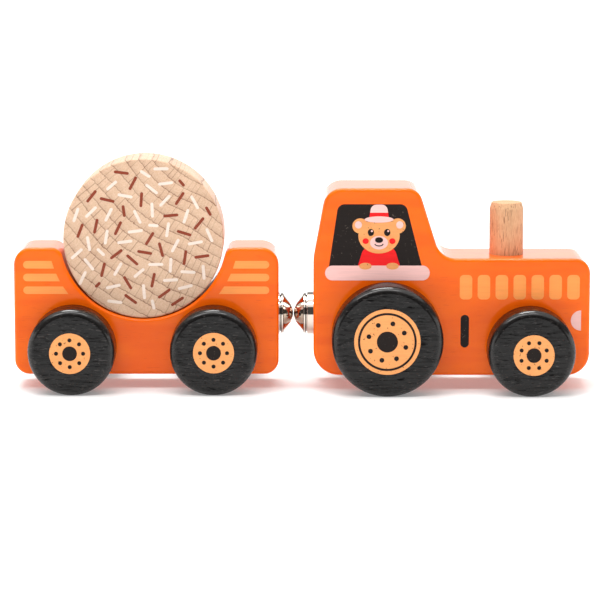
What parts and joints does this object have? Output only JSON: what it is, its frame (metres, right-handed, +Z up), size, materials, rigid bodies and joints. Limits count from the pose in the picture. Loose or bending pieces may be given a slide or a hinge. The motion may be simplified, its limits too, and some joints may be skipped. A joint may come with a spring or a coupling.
{
  "type": "toy tractor",
  "caption": "Wooden push-along toy tractor with a peg exhaust, towing a cradle trailer by a magnetic hitch; the trailer carries a round block that lifts out.",
  "frame": {"origin": "on the ground, under the middle of the box around the whole train", "axes": "+X the way the tractor drives, +Y to its left, +Z up"},
  "size_m": [0.2126, 0.061, 0.0857],
  "materials": {
    "orange_paint": "gloss orange paint on wood",
    "black_stain": "satin black stain, grain showing",
    "beech": "bare sanded beech",
    "nickel": "polished nickel plate",
    "magnet_plating": "satin nickel plate",
    "zinc_steel": "zinc plate",
    "light_orange_ink": "printed ink",
    "black_ink": "printed ink",
    "pale_pink_ink": "printed ink",
    "red_ink": "printed ink",
    "brown_ink": "printed ink",
    "white_ink": "printed ink"
  },
  "bodies": {
    "tractor": {"tractor_body": "orange_paint", "exhaust_peg": "beech", "tractor_hitch_nose": "nickel", "tractor_hitch_cup": "nickel", "tractor_hitch_screw": "zinc_steel"},
    "tractor_rear_wheels": {"tractor_rear_axle": "beech", "tractor_rear_wheel_left": "black_stain", "tractor_rear_wheel_right": "black_stain"},
    "tractor_front_wheels": {"tractor_front_axle": "beech", "tractor_front_wheel_left": "black_stain", "tractor_front_wheel_right": "black_stain"},
    "hitch_ball": {"tractor_hitch_magnet": "magnet_plating"},
    "trailer": {"trailer_body": "orange_paint", "trailer_hitch_nose": "nickel", "trailer_hitch_cup": "nickel", "trailer_hitch_magnet": "magnet_plating", "trailer_hitch_screw": "zinc_steel"},
    "trailer_front_wheels": {"trailer_front_axle": "beech", "trailer_front_wheel_left": "black_stain", "trailer_front_wheel_right": "black_stain"},
    "trailer_rear_wheels": {"trailer_rear_axle": "beech", "trailer_rear_wheel_left": "black_stain", "trailer_rear_wheel_right": "black_stain"},
    "load": {"load_disc": "beech"}
  },
  "joints": [
    {"name": "tractor_rear_roll", "type": "hinge", "parent": "tractor", "child": "tractor_rear_wheels", "pos_m": [0.0314, 0, 0.0204], "axis": [0, 1, 0], "continuous": true},
    {"name": "tractor_front_roll", "type": "hinge", "parent": "tractor", "child": "tractor_front_wheels", "pos_m": [0.0841, 0, 0.016], "axis": [0, 1, 0], "continuous": true},
    {"name": "hitch_swing", "type": "hinge", "parent": "tractor", "child": "hitch_ball", "pos_m": [0.00405, 0, 0.0267], "axis": [0, 0, 1], "range_deg": [-40, 40]},
    {"name": "hitch_pull", "type": "slide", "parent": "hitch_ball", "child": "trailer", "axis": [-1, 0, 0], "range_m": [0, 0.04]},
    {"name": "trailer_front_roll", "type": "hinge", "parent": "trailer", "child": "trailer_front_wheels", "pos_m": [-0.03235, 0, 0.016], "axis": [0, 1, 0], "continuous": true},
    {"name": "trailer_rear_roll", "type": "hinge", "parent": "trailer", "child": "trailer_rear_wheels", "pos_m": [-0.08445, 0, 0.016], "axis": [0, 1, 0], "continuous": true},
    {"name": "load_lift", "type": "slide", "parent": "trailer", "child": "load", "axis": [0, 0, 1], "range_m": [0, 0.06]}
  ]
}
